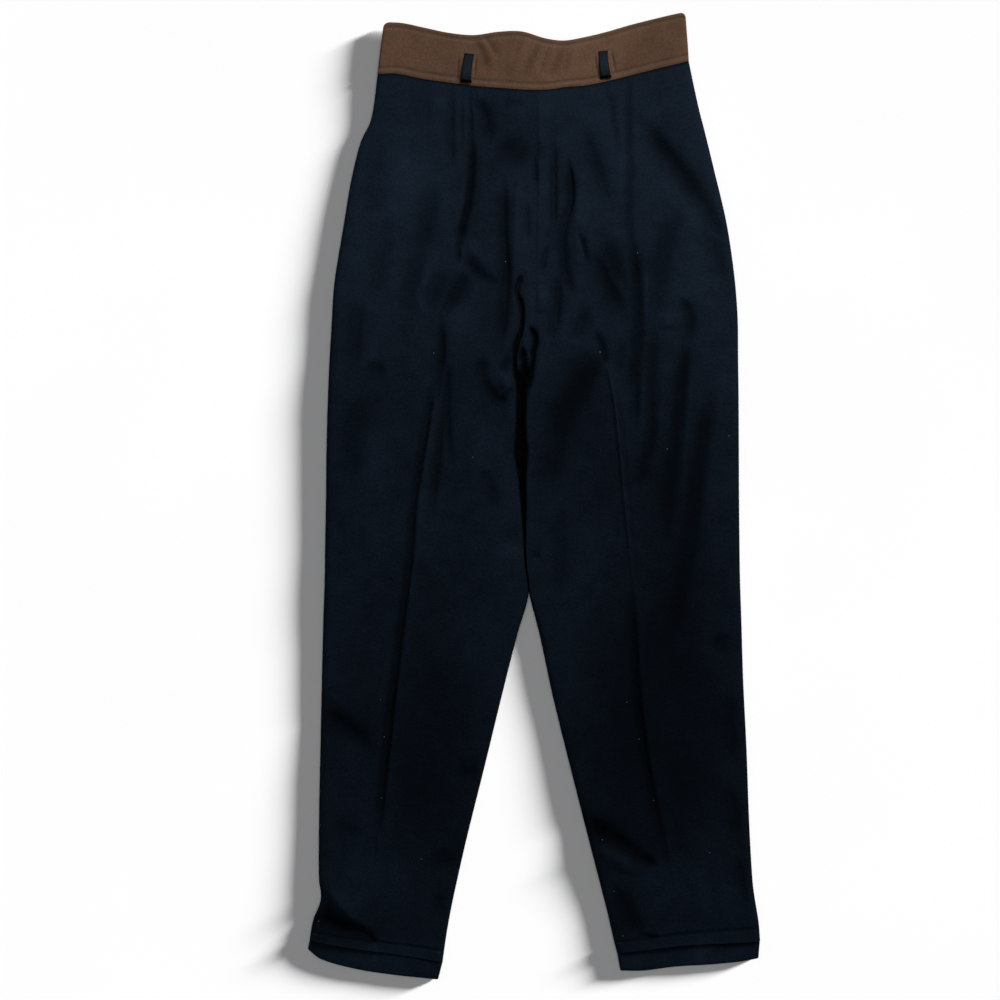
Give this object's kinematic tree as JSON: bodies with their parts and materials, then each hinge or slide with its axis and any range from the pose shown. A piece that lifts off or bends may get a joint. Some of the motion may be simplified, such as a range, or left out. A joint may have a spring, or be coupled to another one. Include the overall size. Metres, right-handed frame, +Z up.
{
  "type": "wool trousers",
  "caption": "Full-length wool trousers laid flat on their front: navy legs with pressed creases and tucked hem bands, and a brown waistband with belt loops.",
  "frame": {"origin": "the middle of the garment's box, on the surface that it lies on", "axes": "+Z up, out of the garment's back; +Y along its length, towards the waistband; +X towards the wearer's right"},
  "size_m": [0.4848, 1.0356, 0.0104],
  "materials": {
    "navy_wool": "napped wool twill, matt",
    "brown_wool": "smooth wool cloth, matt",
    "horn": "satin horn"
  },
  "bodies": {
    "root": {"back_left": "navy_wool", "back_right": "navy_wool", "front_left": "navy_wool", "front_right": "navy_wool", "cuff_left_back": "navy_wool", "cuff_left_front": "navy_wool", "cuff_right_back": "navy_wool", "cuff_right_front": "navy_wool", "loop_back_left": "navy_wool", "loop_back_right": "navy_wool", "loop_front_left": "navy_wool", "loop_front_right": "navy_wool", "waistband_back": "brown_wool", "waistband_front_left": "brown_wool", "waistband_front_right": "brown_wool", "button": "horn"}
  },
  "joints": []
}
